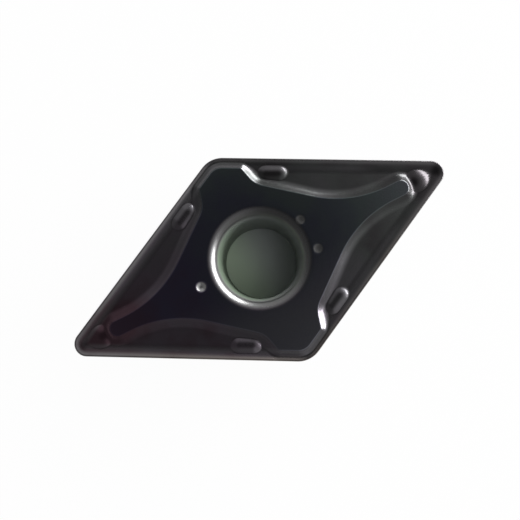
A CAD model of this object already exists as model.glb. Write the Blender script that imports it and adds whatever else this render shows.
import bpy
import numpy as np
from math import cos, pi, radians, sin, tan
from mathutils import Matrix, Vector


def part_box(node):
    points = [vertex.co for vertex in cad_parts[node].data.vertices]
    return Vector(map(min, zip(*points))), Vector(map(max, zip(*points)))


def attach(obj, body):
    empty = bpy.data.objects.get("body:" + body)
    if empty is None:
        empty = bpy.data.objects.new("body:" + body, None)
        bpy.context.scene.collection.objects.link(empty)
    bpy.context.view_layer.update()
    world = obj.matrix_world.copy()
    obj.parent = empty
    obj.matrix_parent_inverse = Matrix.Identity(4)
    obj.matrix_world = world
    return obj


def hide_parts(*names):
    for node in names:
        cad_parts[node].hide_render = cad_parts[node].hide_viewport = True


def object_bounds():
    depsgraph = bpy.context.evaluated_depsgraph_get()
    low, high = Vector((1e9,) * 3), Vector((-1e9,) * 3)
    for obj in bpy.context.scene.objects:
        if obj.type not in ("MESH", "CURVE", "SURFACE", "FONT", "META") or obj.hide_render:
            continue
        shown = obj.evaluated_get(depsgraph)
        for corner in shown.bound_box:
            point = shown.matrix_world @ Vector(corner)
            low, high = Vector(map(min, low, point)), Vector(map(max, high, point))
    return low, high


# A double-sided carbide turning insert: a dark coated rhombus with a bore and a moulded chip former.
# Metres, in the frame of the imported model: the insert lies flat on z = 0 with its bore up the z axis.

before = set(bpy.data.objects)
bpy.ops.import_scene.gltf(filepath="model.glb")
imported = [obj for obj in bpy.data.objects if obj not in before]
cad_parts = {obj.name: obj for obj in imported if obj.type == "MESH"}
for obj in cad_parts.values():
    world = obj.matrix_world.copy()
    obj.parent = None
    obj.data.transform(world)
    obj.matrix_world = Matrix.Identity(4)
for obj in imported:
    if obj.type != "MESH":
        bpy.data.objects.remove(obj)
cad_low, cad_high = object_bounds()
MM = 0.001

# ----------------------------------------------------------------------------- sizes of the insert
# In millimetres, with angles in radians. Heights are from the middle plane.

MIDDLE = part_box("insert_body")[1].z / MM / 2  # the middle plane itself, above the table
SEAT = MIDDLE  # a seat, above the middle plane
SEAT_RISE = 0.15  # the seats stand proud of the cutting edges by this much
EDGE = SEAT - SEAT_RISE
INSCRIBED_CIRCLE = 12.70
APOTHEM = INSCRIBED_CIRCLE / 2
HALF_NOSE = radians(27.5)
NOSE_RADIUS, BLUNT_RADIUS = 0.80, 1.60
LONG_HALF, SHORT_HALF = APOTHEM / sin(HALF_NOSE), APOTHEM / cos(HALF_NOSE)  # half diagonals, unrounded
BORE, MOUTH = 2.58, 0.80  # radius of the bore, and of its rounding at each seat

# the cup round the island, from the cutting edge inwards
HONE = 0.05
LAND = 0.10
RAKE_SLOPE, RAKE_DROP = tan(radians(20)), 0.10
GROOVE_SLOPE, GROOVE_DEPTH = tan(radians(9)), 0.16
FLOOR_SLOPE = tan(radians(3))
FLOOR_RIDGE = 0.02  # rounds the floor where its four slopes meet, in square millimetres
RAKE_END = LAND + RAKE_DROP / RAKE_SLOPE
GROOVE_END = RAKE_END + (GROOVE_DEPTH - RAKE_DROP) / GROOVE_SLOPE
GROOVE = EDGE - GROOVE_DEPTH

# the island and its wall
WALL = SEAT - GROOVE
WALL_ANGLE = radians(33)
WALL_REACH = 0.60  # the wall has met the floor this far out
BROW, ROOT = 0.15, 0.15  # rounding along the wall's top, and fillet along its foot
SHOULDER_INSET, SHOULDER_END, SHOULDER_TURN = 0.45, 1.67, 0.40
ELBOW_OUT, ELBOW_DROP, ELBOW_TURN = 2.00, 2.66, 1.20
SIDE_ANGLE, SIDE_SWEEP = radians(39), 0.55 * INSCRIBED_CIRCLE
TONGUE_HALF, TONGUE_SETBACK = 0.72, 3.90
ISLAND_TIP = (0, SHORT_HALF * (1 - SHOULDER_INSET / APOTHEM))
SHOULDER = (SHOULDER_END, ISLAND_TIP[1] - SHOULDER_END * tan(HALF_NOSE))
ELBOW = (ELBOW_OUT, SHORT_HALF - ELBOW_DROP)
NECK = (ELBOW_OUT + (ELBOW[1] - TONGUE_HALF) / tan(SIDE_ANGLE), TONGUE_HALF)
TONGUE_END = (LONG_HALF - TONGUE_SETBACK, TONGUE_HALF)  # where the tongue's round end begins

# domes and index marks
NOSE_DOME = (2.65, 0.78, 0.19)  # setback from the sharp corner, radius, height
POCKET_DOME = (4.02, 0.88, 0.40, 0.55, 0.16)  # along the edge, in from it, half its back, radius, height
DIMPLE = 0.34
INDEX_MARKS = ((4.05, 180, 0.12), (3.50, 17, 0.03), (3.70, -17, 0.03))  # out, bearing in degrees, depth
DIMPLES = [(out * cos(radians(bearing)), out * sin(radians(bearing)), depth)
           for out, bearing, depth in INDEX_MARKS]

# fillets where two surfaces of the upper face meet: how far apart in height they still blend
RAKE_BLEND, GROOVE_BLEND, LAND_BLEND, FLOOR_BLEND = 0.05, 0.03, 0.006, 0.01
DOME_BLEND, DIMPLE_BLEND = 0.006, 0.002

# ---------------------------------------------------------------------- rows and columns of points
# Rows lie close where the surface turns quickly, and apart where it is flat. All are in millimetres.

ARC_STEPS = 24  # chords in each arc of an outline
RIM_ROWS = np.append(HONE * (1 - np.cos(np.radians(np.arange(0, 91, 15)))), (0.075, LAND))  # in from the edge
CUP_ROWS = np.array([0.12, 0.16, 0.22, 0.28, 0.34, 0.375, 0.41, 0.48, 0.55, 0.62, 0.69, 0.754, 0.83])
CUP_SHARE = 0.85  # beside a narrow shoulder, the cup's rows take at most this share of the width
SCALINGS = 12  # rounds in which those rows find their places
FLOOR_ROWS = 16
BROW_ROWS = np.array([-0.36, -0.29, -0.27, -0.25, -0.235, -0.22, -0.205, -0.16, -0.10, -0.04, 0.02, 0.08,
                      0.14, 0.19, 0.24, 0.30, 0.38])  # out from the island's outline
RING_END, RING_GAP, RING_ROWS = 4.47, 0.03, 16  # even rings from the bore's mouth to past the index marks
SEAT_ROWS, SEAT_CROWDING = 5, 1.5  # from those rings to the brow, crowded towards the rings
MOUTH_TURNS = np.radians(np.linspace(0, 90, 11))[:-1]
BORE_HEIGHTS = [0.0, 0.9, 1.7]
FLANK_HEIGHTS = (2.2, 1.1, 0.0)
COLUMNS_AT = (0, 22, 40, 66, 90, 110, 140)  # tip, shoulder, elbow, past the dome, neck, round end, its tip
PAST_DOME = 2.3  # beyond the elbow, along the island
COLUMN_EASING = 4  # columns on either side over which the spacing is evened out
TANGENT_STEP = 0.06  # a column's tangent is taken over this much on either side

# --------------------------------------------------------------------------- sizes of the finishes
# Pairs are where a smooth step starts and ends. Distances are in millimetres.

POLISHED = (SEAT - 0.015, SEAT - 0.003)  # height at which the polish of the seat begins
IN_BORE = (BORE + 0.02, BORE + 0.20)  # distance from the axis at which the dull bore ends
IN_MOUTH = (BORE + MOUTH - 0.45, BORE + MOUTH - 0.15)  # and at which its worn mouth does
ON_FLANK = (EDGE - 0.15, EDGE - HONE)  # height at which the flank's own tint ends
AT_EDGE_HEIGHT = (EDGE - 0.12, EDGE - 0.02)  # and at which the wear of the edge begins
WEAR_WIDTH, WEAR_WIDENING, LEFT_NOSE = 0.37, 0.45, (-11.0, -3.0)  # the wear widens towards the left nose
WEAR_PATCHES = (0.1, 0.5)  # it is missing in the darkest parts of the cloud
WEAR_STRENGTH, WEAR_FADING, WEAR_RUN = 0.95, 0.5, (-2.0, 4.0)  # and fades towards the right
VALLEY_START, VALLEY_END = (0.30, 0.58), (0.60, 0.90)  # the groove's paler stripe, in from the cutting edge
VALLEY_STOP = (7.5, 9.5)  # X at which it stops, before the right nose
NEAR_SEAT = (-4.5, -0.5)  # Y over which the near half of the seat grows paler
MARK_FULL = 0.5  # share of an index mark's area that is fully pale
MARK_PALE, MARK_PALE_PER_DEPTH = 0.20, 4.6  # a deep index mark has lost more of the coating
RUB_BEARING = radians(220)  # side of the bore's mouth that is rubbed most
BARE_RUN, BORE_RUN = (-4.0, 0.0), (-2.6, 1.5)  # Y over which bare edges change tint, and X for the bore
FILM_LENGTH, FILM_BREADTH, FILM_CLOUD = 26.0, 60.0, 0.95  # X and Y runs of the whole film, and its patches
CLOUD = {"Scale": 260.0, "Detail": 3.0, "Roughness": 0.55}  # patches of about 4 mm
GRAIN = {"Scale": 11000.0, "Detail": 2.0, "Roughness": 0.6}  # about a tenth of a millimetre
GRAIN_BUMP = {"Strength": 0.12, "Distance": 0.01 * MM}
SATIN = 0.235  # roughness of the moulded surfaces
ADDED_ROUGHNESS = {"seat": -0.08, "mouth": 0.06, "bore": 0.20, "grain": 0.06, "wear": 0.10}


def tone(red, green, blue):
    """A colour for a socket: linear red, green and blue, and no transparency."""
    return red, green, blue, 1.0


def grey(value):
    """A colour with its three parts equal."""
    return tone(value, value, value)


# Tints of the coating are what it reflects face on. Those of its film run from the left nose to the right.
MOULDED_FILM = [(0.07, tone(0.140, 0.083, 0.104)), (0.25, tone(0.190, 0.158, 0.192)),
                (0.50, tone(0.162, 0.158, 0.170)), (0.74, tone(0.126, 0.132, 0.130)),
                (0.89, tone(0.090, 0.083, 0.089))]
SEAT_FILM = [(0.10, tone(0.160, 0.108, 0.165)), (0.30, tone(0.152, 0.134, 0.225)),
             (0.50, tone(0.156, 0.166, 0.224)), (0.70, tone(0.182, 0.220, 0.224)),
             (0.95, tone(0.195, 0.185, 0.221))]
VALLEY_TINT, VALLEY_STRENGTH = tone(0.34, 0.33, 0.35), 0.45
NEAR_SEAT_TINT, NEAR_SEAT_STRENGTH = tone(0.320, 0.320, 0.360), 0.8
FLANK_TINT, FLANK_STRENGTH = tone(0.050, 0.047, 0.052), 0.6
MARK_STRENGTH = 0.9
MOUTH_TINTS = grey(0.170), grey(0.440)
BARE_TINTS = tone(0.450, 0.400, 0.375), tone(0.420, 0.400, 0.415)
BORE_TINTS = tone(0.180, 0.232, 0.170), tone(0.215, 0.222, 0.228)


# --------------------------------------------------------------------------------- shader language

def both_ways(operation):
    """The two forms of an operator on a wire: wire first, and its reflection, wire second."""
    def forward(self, other):
        return self.maths(operation, self, other)

    def reflected(self, other):
        return self.maths(operation, other, self)

    return forward, reflected


class Wire:
    """One socket of a node tree. Arithmetic with wires and numbers adds Math nodes to its tree."""

    def __init__(self, nodes, socket):
        self.nodes = nodes
        self.socket = socket

    def maths(self, operation, *values):
        """One Math node."""
        return self.nodes.add("ShaderNodeMath", {"operation": operation}, *values)

    __add__, __radd__ = both_ways("ADD")
    __sub__, __rsub__ = both_ways("SUBTRACT")
    __mul__, __rmul__ = both_ways("MULTIPLY")
    __truediv__, __rtruediv__ = both_ways("DIVIDE")
    __pow__, __rpow__ = both_ways("POWER")

    def __abs__(self):
        return self.maths("ABSOLUTE", self)

    def least(self, other):
        """The smaller of the two."""
        return self.maths("MINIMUM", self, other)

    def most(self, other):
        """The larger of the two."""
        return self.maths("MAXIMUM", self, other)

    def above(self, other):
        """1 where this is the larger, else 0."""
        return self.maths("GREATER_THAN", self, other)

    def rise(self, start, end):
        """0 below start, 1 above end, and a smooth step between them."""
        return self.nodes.add("ShaderNodeMapRange", {"interpolation_type": "SMOOTHSTEP"},
                              Value=self, **{"From Min": start, "From Max": end})

    def fall(self, start, end):
        """1 below start, 0 above end, and a smooth step between them."""
        return 1.0 - self.rise(start, end)


class Nodes:
    """A node tree that is written as expressions."""

    MIX_INPUTS, MIX_OUTPUT = (0, 6, 7), 2  # a Mix node's factor and two colours, and their blend

    def __init__(self, tree):
        self.tree = tree
        tree.nodes.clear()

    def add(self, kind, settings=None, *values, out=0, **named):
        """One node: its settings first, then its inputs in order or by name. Gives one of its outputs."""
        node = self.tree.nodes.new(kind)
        for name, value in (settings or {}).items():
            if name == "stops":
                self._stops(node.color_ramp, value)
            else:
                setattr(node, name, value)
        self._feed(node, [*enumerate(values), *named.items()])
        return Wire(self, node.outputs[out]) if node.outputs else node

    def mix(self, factor, first, second):
        """A blend of two colours."""
        node = self.tree.nodes.new("ShaderNodeMix")
        node.data_type = "RGBA"
        self._feed(node, zip(self.MIX_INPUTS, (factor, first, second)))
        return Wire(self, node.outputs[self.MIX_OUTPUT])

    def _feed(self, node, inputs):
        """Links or sets a node's inputs, each given by its number or name."""
        for key, value in inputs:
            if isinstance(value, Wire):
                self.tree.links.new(value.socket, node.inputs[key])
            else:
                node.inputs[key].default_value = value

    @staticmethod
    def _stops(ramp, stops):
        """Gives a colour ramp its stops."""
        while len(ramp.elements) < len(stops):
            ramp.elements.new(1.0)
        for element, (place, colour) in zip(ramp.elements, stops):
            element.position, element.color = place, colour


def new_material(name):
    """An empty material, and its node tree."""
    material = bpy.data.materials.new(name)
    material.use_nodes = True
    return material, Nodes(material.node_tree)


# ------------------------------------------------------------------------------------- the coating

def rim_distance(x, y):
    """Shader form of inset, without the blunt corners: distance in from the flank, or from a nose's arc."""
    straight = APOTHEM - abs(x) * sin(HALF_NOSE) - abs(y) * cos(HALF_NOSE)
    past = abs(x) - (APOTHEM - NOSE_RADIUS) / sin(HALF_NOSE)
    round_nose = NOSE_RADIUS - (past * past + y * y) ** 0.5
    on_nose = (past / tan(HALF_NOSE)).above(abs(y))
    return straight + (round_nose - straight) * on_nose


def dimple_marks(n, tint, x, y):
    """The tint with a pale spot over each index mark, which fades towards the mark's rim."""
    for mark_x, mark_y, depth in DIMPLES:
        square = (x - mark_x) ** 2.0 + (y - mark_y) ** 2.0
        mark = square.fall(MARK_FULL * DIMPLE ** 2, DIMPLE ** 2)
        pale = grey(MARK_PALE + MARK_PALE_PER_DEPTH * depth)
        tint = n.mix(mark * MARK_STRENGTH, tint, pale)
    return tint


def coated_carbide():
    """Dark coated carbide: polished seats, a satin chip former, worn cutting edges and a dull greenish bore.

    The coating reflects like a very dark metal, so its base colour is what it reflects face on. Its film runs
    through its tints from nose to nose, shifted by slow patches. The other tints are laid over it in turn."""
    material, n = new_material("coated_carbide")
    place = n.add("ShaderNodeTexCoord", out="Object")
    x, y, z = (n.add("ShaderNodeSeparateXYZ", {}, place, out=axis) / MM for axis in "XYZ")
    lift = abs(z - MIDDLE)
    out = (x * x + y * y) ** 0.5
    rim = rim_distance(x, y)
    cloud = n.add("ShaderNodeTexNoise", {}, Vector=place, **CLOUD)
    grain = n.add("ShaderNodeTexNoise", {}, Vector=place, **GRAIN)

    seat = lift.rise(*POLISHED)
    bore = out.fall(*IN_BORE)
    mouth = out.fall(*IN_MOUTH)
    flank = rim.fall(0.0, HONE) * lift.fall(*ON_FLANK)
    valley = rim.rise(*VALLEY_START) * rim.fall(*VALLEY_END) * x.fall(*VALLEY_STOP)
    width = WEAR_WIDTH + x.fall(*LEFT_NOSE) * WEAR_WIDENING
    worn_edge = ((rim - HONE) / width).fall(0.0, 1.0) * lift.rise(*AT_EDGE_HEIGHT)
    wear = worn_edge * cloud.rise(*WEAR_PATCHES) * (WEAR_STRENGTH - x.rise(*WEAR_RUN) * WEAR_FADING)

    drift = x / FILM_LENGTH + y / FILM_BREADTH + 0.5
    film = (drift + (cloud - 0.5) * FILM_CLOUD).most(0.0).least(1.0)
    moulded = n.add("ShaderNodeValToRGB", {"stops": MOULDED_FILM}, film)
    moulded = n.mix(valley * VALLEY_STRENGTH, moulded, VALLEY_TINT)
    tint = n.mix(seat, moulded, n.add("ShaderNodeValToRGB", {"stops": SEAT_FILM}, film))
    tint = n.mix(y.fall(*NEAR_SEAT) * seat * NEAR_SEAT_STRENGTH, tint, NEAR_SEAT_TINT)
    tint = dimple_marks(n, tint, x, y)
    rubbed = (x * cos(RUB_BEARING) + y * sin(RUB_BEARING)) / out * 0.5 + 0.5
    tint = n.mix(mouth, tint, n.mix(rubbed, *MOUTH_TINTS))
    tint = n.mix(flank * FLANK_STRENGTH, tint, FLANK_TINT)
    tint = n.mix(wear, tint, n.mix(y.rise(*BARE_RUN), *BARE_TINTS))
    tint = n.mix(bore, tint, n.mix(x.rise(*BORE_RUN), *BORE_TINTS))

    parts = {"seat": seat, "mouth": mouth, "bore": bore, "grain": grain - 0.5, "wear": wear}
    roughness = sum((parts[name] * amount for name, amount in ADDED_ROUGHNESS.items()), SATIN)
    bump = n.add("ShaderNodeBump", {}, Height=grain, **GRAIN_BUMP)
    shader = n.add("ShaderNodeBsdfPrincipled", {}, Roughness=roughness, Metallic=1.0 - bore, Normal=bump,
                   **{"Base Color": tint})
    n.add("ShaderNodeOutputMaterial", {}, Surface=shader)
    return material


# ---------------------------------------------------------------------------------------- outlines

def unit(vectors):
    """Plan vectors, each divided by its own length."""
    return vectors / np.hypot(vectors[..., 0], vectors[..., 1])[..., None]


def run_along(path):
    """Length along a path at each of its points: the running sum of its chords."""
    return np.concatenate([[0], np.cumsum(np.hypot(*np.diff(path, axis=0).T))])


def at_run(path, run, places):
    """Points at given lengths along a path."""
    return np.stack([np.interp(places, run, path[:, 0]), np.interp(places, run, path[:, 1])], axis=1)


def rounded_quarter(corners, radii):
    """A quarter of a closed outline, from the Y to the X axis: straight runs, with an arc at each corner.

    An arc's centre lies on the corner's bisector, its radius over the sine of half the corner away. Its
    points are the centre plus a radius that swings evenly from square on one run to square on the next.
    Gives the points, and the run length at the middle of each arc, from the middle of the first."""
    corners = np.array(corners, float)
    before = corners[1] * (-1, 1)
    ends_on_axis = corners[-1][1] == 0
    after = corners[-2 if ends_on_axis else -1] * (1, -1)
    path = np.vstack([before, corners, after])
    arcs = []
    for here, back, ahead, radius in zip(path[1:-1], path[:-2], path[2:], radii):
        back, ahead = unit(back - here), unit(ahead - here)
        half = np.arccos(back @ ahead) / 2
        centre = here + unit(back + ahead) * radius / sin(half)
        first = here + back * radius / tan(half) - centre
        last = here + ahead * radius / tan(half) - centre
        turn = pi - 2 * half
        angle = turn * np.linspace(0, 1, ARC_STEPS + 1)[:, None]
        arcs.append(centre + (first * np.sin(turn - angle) + last * np.sin(angle)) / sin(turn))
    points = np.vstack(arcs)
    middles = run_along(points)[[k * (ARC_STEPS + 1) + ARC_STEPS // 2 for k in range(len(arcs))]]
    rounding = 1e-9
    inside = (points[:, 0] > -rounding) & (points[:, 1] > -rounding)
    return points[inside], middles - middles[0]


def island_quarter():
    """The island's outline halfway up its wall: tip, shoulder, elbow, neck and the tongue's round end."""
    corners = [ISLAND_TIP, SHOULDER, ELBOW, NECK, (TONGUE_END[0] + TONGUE_HALF, TONGUE_HALF)]
    radii = (BLUNT_RADIUS - SHOULDER_INSET, SHOULDER_TURN, ELBOW_TURN, SIDE_SWEEP, TONGUE_HALF)
    return rounded_quarter(corners, radii)


def outline_quarter():
    """The insert's own outline: one straight edge between a blunt corner and a sharp nose."""
    return rounded_quarter([(0, SHORT_HALF), (LONG_HALF, 0)], (BLUNT_RADIUS, NOSE_RADIUS))


def inset(x, y):
    """How far inside the rounded outline a point lies: from the straight edge, or from its corner's arc."""
    x, y = np.abs(x), np.abs(y)
    straight = APOTHEM - x * sin(HALF_NOSE) - y * cos(HALF_NOSE)
    past_nose = x - (APOTHEM - NOSE_RADIUS) / sin(HALF_NOSE)
    past_blunt = y - (APOTHEM - BLUNT_RADIUS) / cos(HALF_NOSE)
    at_nose = past_nose > y * tan(HALF_NOSE)
    at_blunt = past_blunt * tan(HALF_NOSE) > x
    distance = np.where(at_nose, NOSE_RADIUS - np.hypot(past_nose, y), straight)
    return np.where(at_blunt, BLUNT_RADIUS - np.hypot(x, past_blunt), distance)


def from_island(x, y, outline):
    """Distance from the island's outline, minus inside it: the least one to any of the outline's chords."""
    x, y = np.abs(x), np.abs(y)
    shortest = 1e-12
    best = np.full(x.shape, np.inf)
    for (ax, ay), (bx, by) in zip(outline[:-1], outline[1:]):
        dx, dy = bx - ax, by - ay
        square = dx * dx + dy * dy
        if square < shortest:
            continue
        share = np.clip(((x - ax) * dx + (y - ay) * dy) / square, 0, 1)
        best = np.minimum(best, np.hypot(x - ax - share * dx, y - ay - share * dy))
    inside = y < np.interp(x, outline[:, 0], outline[:, 1], right=0)
    return np.where(inside, -best, best)


# ---------------------------------------------------------------------------- the relief of a face

def higher(a, b, blend):
    """The higher of two surfaces, filleted where they are less than blend apart.

    The fillet adds the square of what they lack of blend, over four times blend."""
    return np.maximum(a, b) + np.maximum(blend - np.abs(a - b), 0) ** 2 / (4 * blend)


def lower(a, b, blend):
    """The lower of two surfaces, filleted in the same way."""
    return -higher(-a, -b, blend)


def cap(distance, radius, height):
    """A ball's cap: its height over its own rim, falling on below it."""
    ball = (radius * radius + height * height) / (2 * height)
    return np.sqrt(np.maximum(ball * ball - distance * distance, 0)) - ball + height


def cup_height(rim):
    """Land, rake and groove: level, then the higher of two falling slopes, then level again."""
    rake = EDGE - (rim - LAND) * RAKE_SLOPE
    groove = EDGE - RAKE_DROP - (rim - RAKE_END) * GROOVE_SLOPE
    cup = higher(higher(rake, groove, RAKE_BLEND), GROOVE, GROOVE_BLEND)
    return lower(cup, EDGE, LAND_BLEND)


def honed_edge(rim):
    """The hone: a quarter circle from the flank to the land."""
    in_from_land = HONE - np.clip(rim, 0, HONE)
    return EDGE - HONE + np.sqrt(np.maximum(HONE ** 2 - in_from_land ** 2, 0))


def floor_height(x, y):
    """The pocket floor: it rises with the distance from the sharp-cornered outline, past the groove's end."""
    long_way, short_way = np.sqrt(x * x + FLOOR_RIDGE), np.sqrt(y * y + FLOOR_RIDGE)
    distance = APOTHEM - long_way * sin(HALF_NOSE) - short_way * cos(HALF_NOSE)
    return GROOVE + (distance - GROOVE_END) * FLOOR_SLOPE


def nose_dome(x, y):
    """The dome before each sharp nose: a ball's cap."""
    setback, radius, top = NOSE_DOME
    return GROOVE + cap(np.hypot(np.abs(x) - LONG_HALF + setback, y), radius, top)


def pocket_dome(x, y):
    """The oblong dome in each pocket: a ball's cap drawn out along the edge."""
    along, inward, straight, radius, top = POCKET_DOME
    dx, dy = np.abs(x), np.abs(y) - SHORT_HALF
    run = dx * cos(HALF_NOSE) - dy * sin(HALF_NOSE) - along
    off = -dx * sin(HALF_NOSE) - dy * cos(HALF_NOSE) - inward
    return GROOVE + cap(np.hypot(np.maximum(np.abs(run) - straight, 0), off), radius, top)


def wall_height(out):
    """The island's side: seat, a round brow, then a slope that is at half its height on the outline."""
    start = -WALL / 2 / tan(WALL_ANGLE) - BROW * tan(WALL_ANGLE / 2)
    brow_width = BROW * sin(WALL_ANGLE)
    across = np.clip(out - start, 0, brow_width)
    beyond = np.maximum(out - start - brow_width, 0)
    return SEAT - BROW + np.sqrt(BROW ** 2 - across ** 2) - beyond * tan(WALL_ANGLE)


def height(x, y, island):
    """Height of the upper face: the highest of its parts, with the index marks sunk in."""
    rim = inset(x, y)
    ground = higher(cup_height(rim), floor_height(x, y), FLOOR_BLEND)
    ground = higher(ground, nose_dome(x, y), DOME_BLEND)
    ground = higher(ground, pocket_dome(x, y), DOME_BLEND)
    out = from_island(x, y, island)
    top = np.where(out < WALL_REACH, higher(ground, wall_height(out), ROOT), ground)
    for mark_x, mark_y, depth in DIMPLES:
        off = np.hypot(x - mark_x, y - mark_y)
        top = lower(top, SEAT - cap(off, DIMPLE, depth), DIMPLE_BLEND)
    return np.minimum(np.where(rim < HONE, honed_edge(rim), top), SEAT)


# -------------------------------------------------------------------------------- the pressed body

def eased(places):
    """Places of columns with their spacing evened out: a running mean, mirrored through both ends."""
    window = np.full(2 * COLUMN_EASING + 1, 1 / (2 * COLUMN_EASING + 1))
    padded = np.pad(places, COLUMN_EASING, mode="reflect", reflect_type="odd")
    return np.convolve(padded, window, mode="valid")


def beside(x, y):
    """Length along the insert's outline from the middle of a blunt corner to the point abreast of (x, y)."""
    blunt_lost = BLUNT_RADIUS * (tan(HALF_NOSE) - HALF_NOSE)
    return x * cos(HALF_NOSE) + (SHORT_HALF - y) * sin(HALF_NOSE) - blunt_lost


def quarter_columns():
    """Points on the island's outline and on the insert's own, in pairs, one for each column.

    They run from the Y to the X axis. A few stations on both outlines are paired by hand. The columns
    between them are evenly spaced, then eased."""
    island, middles = island_quarter()
    outer, _ = outline_quarter()
    island_run, outer_run = run_along(island), run_along(outer)
    _, shoulder, elbow, neck, _ = middles
    past_dome = elbow + PAST_DOME
    share = PAST_DOME / (neck - elbow)
    beside_past_dome = beside(*ELBOW) + share * (beside(*NECK) - beside(*ELBOW))
    round_end = island_run[-1] - TONGUE_HALF * pi / 2
    on_island = [0, shoulder, elbow, past_dome, neck, round_end, island_run[-1]]
    on_outer = [0, beside(*SHOULDER), beside(*ELBOW), beside_past_dome, beside(*NECK), beside(*TONGUE_END),
                outer_run[-1]]
    columns = np.arange(COLUMNS_AT[-1] + 1)
    island_places = eased(np.interp(columns, COLUMNS_AT, on_island))
    outer_places = eased(np.interp(columns, COLUMNS_AT, on_outer))

    tangent = at_run(island, island_run, island_places + TANGENT_STEP)
    tangent = tangent - at_run(island, island_run, island_places - TANGENT_STEP)
    outwards = unit(np.stack([-tangent[:, 1], tangent[:, 0]], axis=1))
    outwards[0], outwards[-1] = (0, 1), (1, 0)
    return at_run(island, island_run, island_places), outwards, at_run(outer, outer_run, outer_places), island


def seat_points(brow):
    """Rows of the seat, from the bore's mouth to the first row of the brow, on spokes from the axis."""
    start = BORE + MOUTH
    reach = np.hypot(*brow.T)[:, None]
    ring = np.minimum(RING_END, reach - RING_GAP)
    even = start + (ring - start) * np.linspace(0, 1, RING_ROWS)
    crowded = ring + (reach - ring) * (np.arange(1, SEAT_ROWS) / SEAT_ROWS) ** SEAT_CROWDING
    return unit(brow)[:, None] * np.concatenate([even, crowded], axis=1)[..., None]


def cup_points(foot, outer):
    """Rows from the cutting edge to the island's foot, each column on a straight line between the two.

    The first rows hug the edge: each lies at its own distance inside the outline. It is found by scaling the
    row's share of the line, a dozen times, by the wanted distance over the one it has. The rest are even."""
    line = foot - outer
    room = inset(foot[:, 0], foot[:, 1])[:, None]
    zone = np.minimum(CUP_ROWS[-1], CUP_SHARE * room)
    cup = LAND + (CUP_ROWS - LAND) * ((zone - LAND) / (CUP_ROWS[-1] - LAND))
    wanted = np.concatenate([np.broadcast_to(RIM_ROWS, (len(room), len(RIM_ROWS))), cup], axis=1)
    share = wanted / room
    least_distance = 1e-9
    for _ in range(SCALINGS):
        p = outer[:, None] + line[:, None] * share[..., None]
        had = np.maximum(inset(p[..., 0], p[..., 1]), least_distance)
        share = share * np.where(wanted > 0, wanted / had, 1)
    even = share[:, -1:] + (1 - share[:, -1:]) * (np.arange(1, FLOOR_ROWS) / FLOOR_ROWS)
    share = np.concatenate([share, even], axis=1)
    return outer[:, None] + line[:, None] * share[..., None]


def face_quarter():
    """Plan places of a quarter of one face: columns go round, rows go out from the bore's mouth."""
    on_island, outwards, outer, island = quarter_columns()
    brow = on_island[:, None] + outwards[:, None] * BROW_ROWS[None, :, None]
    cup = cup_points(brow[:, -1], outer)
    quarter = np.concatenate([seat_points(brow[:, 0]), brow, cup[:, ::-1]], axis=1)
    quarter[0, :, 0], quarter[-1, :, 1] = 0, 0
    return quarter, island


def four_quarters(quarter):
    """The quarter's columns, mirrored in both axes into one closed ring of columns."""
    right = np.concatenate([quarter, quarter[-2::-1] * (1, -1)])
    return np.concatenate([right, right[-2:0:-1] * (-1, 1)])


def at_heights(plan, heights):
    """Plan points with their heights: one for each row, or one for each point."""
    rows = np.broadcast_to(heights, plan.shape[:2])
    return np.concatenate([plan, rows[..., None]], axis=2)


def insert_surface():
    """The whole insert as one closed grid: columns go round the bore, rows go once round the section.

    Rows run up the bore, through the quarter circle of its mouth, over the face and down the flank to the
    middle plane, and back through the mirror image of these."""
    quarter, island = face_quarter()
    plan = four_quarters(quarter)
    face = at_heights(plan, height(plan[..., 0], plan[..., 1], island))
    bore_out = np.concatenate([[BORE] * len(BORE_HEIGHTS), BORE + MOUTH * (1 - np.cos(MOUTH_TURNS))])
    bore_up = np.concatenate([BORE_HEIGHTS, SEAT - MOUTH * (1 - np.sin(MOUTH_TURNS))])
    bore = at_heights(unit(plan[:, :1]) * bore_out[None, :, None], bore_up)
    flank = at_heights(np.repeat(plan[:, -1:], len(FLANK_HEIGHTS), axis=1), FLANK_HEIGHTS)
    upper = np.concatenate([bore, face, flank], axis=1)
    return np.concatenate([upper, upper[:, -2:0:-1] * (1, 1, -1)], axis=1)


def quads(columns, rows):
    """Corners of the faces of a grid that closes both ways: a point and its three neighbours further on."""
    c, r = np.meshgrid(np.arange(columns), np.arange(rows), indexing="ij")
    c1, r1 = (c + 1) % columns, (r + 1) % rows
    return np.stack([c * rows + r, c1 * rows + r, c1 * rows + r1, c * rows + r1], axis=-1).reshape(-1, 4)


def pressed_insert():
    """The insert's fine surface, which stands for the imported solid, scaled in plan to exactly its box."""
    grid = insert_surface()
    farthest = np.abs(grid).max(axis=(0, 1))
    grid *= np.array(cad_high.xy.to_3d()) / MM / farthest + (0, 0, 1)
    grid += (0, 0, MIDDLE)
    columns, rows = grid.shape[:2]
    corners = quads(columns, rows)
    mesh = bpy.data.meshes.new("pressed_insert")
    mesh.vertices.add(columns * rows)
    mesh.vertices.foreach_set("co", (grid * MM).astype(np.float32).ravel())
    mesh.loops.add(corners.size)
    mesh.loops.foreach_set("vertex_index", corners.astype(np.int32).ravel())
    mesh.polygons.add(len(corners))
    mesh.polygons.foreach_set("loop_start", np.arange(0, corners.size, 4, dtype=np.int32))
    mesh.polygons.foreach_set("use_smooth", np.ones(len(corners), bool))
    mesh.update(calc_edges=True)
    mesh.validate()
    piece = bpy.data.objects.new("pressed_insert", mesh)
    bpy.context.scene.collection.objects.link(piece)
    return piece


piece = pressed_insert()
piece.data.materials.append(coated_carbide())
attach(piece, "root")
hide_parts("insert_body")


# --------------------------------------------------------------------------------- floor and light

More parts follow.
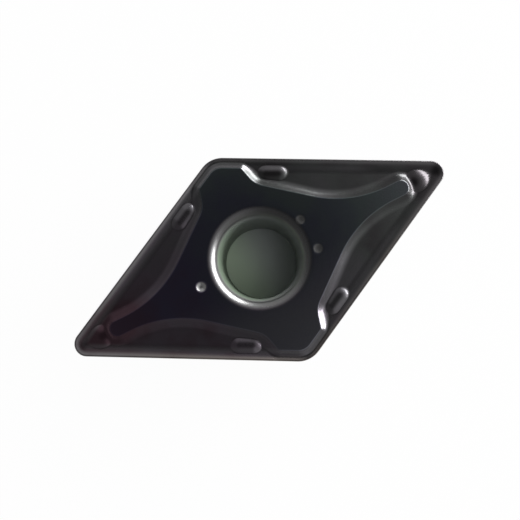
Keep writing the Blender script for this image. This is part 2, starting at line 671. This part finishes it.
TABLE_HALF, TABLE_DROP = 1.5, 0.01 * MM  # the drop keeps the table clear of the lower seat
TABLE_WHITE = tone(0.88, 0.88, 0.87)
TABLE_GLOW = 0.97  # share of glow in the white
STAIN_TINTS, STAIN_RUN = (tone(0.62, 0.75, 0.58), tone(0.56, 0.58, 0.60)), (-2.2, 1.5)  # X run in millimetres
STAIN_END = (4 * MM, 5 * MM)
KEY_AZIMUTH = 6  # degrees
WATTS = 4  # a lamp's power, in the units of its energy, for one unit of radiance and of area

# Glows of the room, each with the smooth step by which it comes in: of a direction's height, if not bearing.
OVERHEAD = 0.055
ALL_ROUND, ZENITH_STEP = 0.07, (0.87, 0.995)
ZENITH_TILT, ZENITH_AZIMUTH = radians(4), radians(105)
HORIZON, HORIZON_STEP = 0.15, (0.0, 0.35)
SIDEWAYS, SIDEWAYS_BEARING = 0.14, (-0.63, -0.10)
HIGHER_SIDEWAYS, HIGHER_STEP = 0.08, (0.35, 0.80)
AROUND_KEY, AROUND_KEY_STEP, AROUND_KEY_BEARING = 0.65, (0.64, 0.88), (0.57, 0.92)

PICTURE, FOCAL = 520.0, 480.0  # width of the picture and focal length, in pixels
SENSOR = 36.0  # millimetres
VIEWPOINT = Vector((-0.26, -2.04, 36.30)) * MM
AIM = Vector((-0.026, -0.114, 6.35)) * MM
PICTURE_TOP = radians(63.69)  # azimuth that points to the top of the picture


def floor():
    """A pale table top. Away from the part it glows, to the eye and in mirrors, so that it reads as white.

    Under the bore it is stained, from greenish on the left to grey on the right."""
    mesh = bpy.data.meshes.new("floor")
    corners = [(x * TABLE_HALF, y * TABLE_HALF, -TABLE_DROP) for x, y in ((-1, -1), (1, -1), (1, 1), (-1, 1))]
    mesh.from_pydata(corners, [], [(0, 1, 2, 3)])
    table = bpy.data.objects.new("floor", mesh)
    bpy.context.scene.collection.objects.link(table)
    material, n = new_material("pale_table")
    place = n.add("ShaderNodeTexCoord", out="Object")
    away = n.add("ShaderNodeVectorMath", {"operation": "LENGTH"}, place, out="Value")
    under = away.fall(*STAIN_END)
    across = n.add("ShaderNodeSeparateXYZ", {}, place, out="X") / MM
    stain = n.mix(across.rise(*STAIN_RUN), *STAIN_TINTS)
    paper = n.add("ShaderNodeBsdfPrincipled", {}, Roughness=1.0,
                  **{"Base Color": n.mix(under, TABLE_WHITE, stain), "Specular IOR Level": 0.0})
    glow = n.add("ShaderNodeEmission", {}, Color=grey(1.0), Strength=1.0)
    seen, mirrored, passed = (n.add("ShaderNodeLightPath", out=f"Is {ray} Ray")
                              for ray in ("Camera", "Glossy", "Transmission"))
    share = (1.0 - under) * seen.most(mirrored).most(passed) * TABLE_GLOW
    n.add("ShaderNodeOutputMaterial", {}, Surface=n.add("ShaderNodeMixShader", {}, share, paper, glow))
    mesh.materials.append(material)


def softbox(name, azimuth, elevation, distance, size, radiance):
    """A rectangular lamp that faces the part from an azimuth and elevation in degrees.

    Its size is a width and a height in metres, and its power is radiance times area times WATTS."""
    a, e = radians(azimuth), radians(elevation)
    back = Vector((cos(a) * cos(e), sin(a) * cos(e), sin(e)))
    lamp = bpy.data.lights.new(name, "AREA")
    lamp.shape = "RECTANGLE"
    lamp.size, lamp.size_y = size
    lamp.energy = radiance * WATTS * size[0] * size[1]
    holder = bpy.data.objects.new(name, lamp)
    holder.location = back * distance
    holder.rotation_mode = "QUATERNION"
    holder.rotation_quaternion = (-back).to_track_quat("-Z", "Y")
    bpy.context.scene.collection.objects.link(holder)
    return holder


def room():
    """A dim room: dark overhead and behind, paler to the sides, and brightest low down around the softbox.

    Each glow is a strength times smooth steps of a direction's height and bearing. To the eye it is white."""
    world = bpy.data.worlds.new("room")
    bpy.context.scene.world = world
    world.use_nodes = True
    n = Nodes(world.node_tree)
    way = n.add("ShaderNodeTexCoord", out="Generated")
    x, y, z = (n.add("ShaderNodeSeparateXYZ", {}, way, out=axis) for axis in "XYZ")
    almost_nothing = 1e-6
    level = (x * x + y * y + almost_nothing) ** 0.5
    key = radians(KEY_AZIMUTH)
    bearing = (x * cos(key) + y * sin(key)) / level
    tilt = (y * sin(ZENITH_AZIMUTH) + x * cos(ZENITH_AZIMUTH)) * sin(ZENITH_TILT)
    off_zenith = (z * cos(ZENITH_TILT) + tilt).fall(*ZENITH_STEP)
    sideways = bearing.rise(*SIDEWAYS_BEARING) * (SIDEWAYS + z.rise(*HIGHER_STEP) * HIGHER_SIDEWAYS)
    around_key = z.fall(*AROUND_KEY_STEP) * (x / level).rise(*AROUND_KEY_BEARING) * AROUND_KEY
    horizon = z.fall(*HORIZON_STEP) * HORIZON
    strength = OVERHEAD + horizon + off_zenith * (ALL_ROUND + sideways + around_key)
    seen = n.add("ShaderNodeLightPath", out="Is Camera Ray")
    white = strength * (1.0 - seen) + seen
    background = n.add("ShaderNodeBackground", {}, Color=grey(1.0), Strength=white)
    n.add("ShaderNodeOutputWorld", {}, Surface=background)


def camera():
    """The viewpoint: close above the part and almost straight down."""
    back = (VIEWPOINT - AIM).normalized()
    right = Vector((cos(PICTURE_TOP), sin(PICTURE_TOP), 0)).cross(back).normalized()
    up = back.cross(right)
    lens = bpy.data.cameras.new("view")
    lens.sensor_width = SENSOR
    lens.lens = FOCAL * SENSOR / PICTURE
    lens.clip_start = 1 * MM
    holder = bpy.data.objects.new("view", lens)
    turn = Matrix((right, up, back)).transposed()
    holder.matrix_world = Matrix.Translation(VIEWPOINT) @ turn.to_4x4()
    bpy.context.scene.collection.objects.link(holder)
    bpy.context.scene.camera = holder


floor()
room()
softbox("key_softbox", azimuth=KEY_AZIMUTH, elevation=28.5, distance=0.25, size=(0.34, 0.078), radiance=7.8)
# this one is not mirrored: it lights the table, so that it shows through the bore
fill = softbox("table_lamp", azimuth=-35, elevation=68, distance=0.25, size=(0.16, 0.16), radiance=0.85)
fill.visible_glossy = False
camera()
bpy.context.scene.view_settings.view_transform = "Standard"
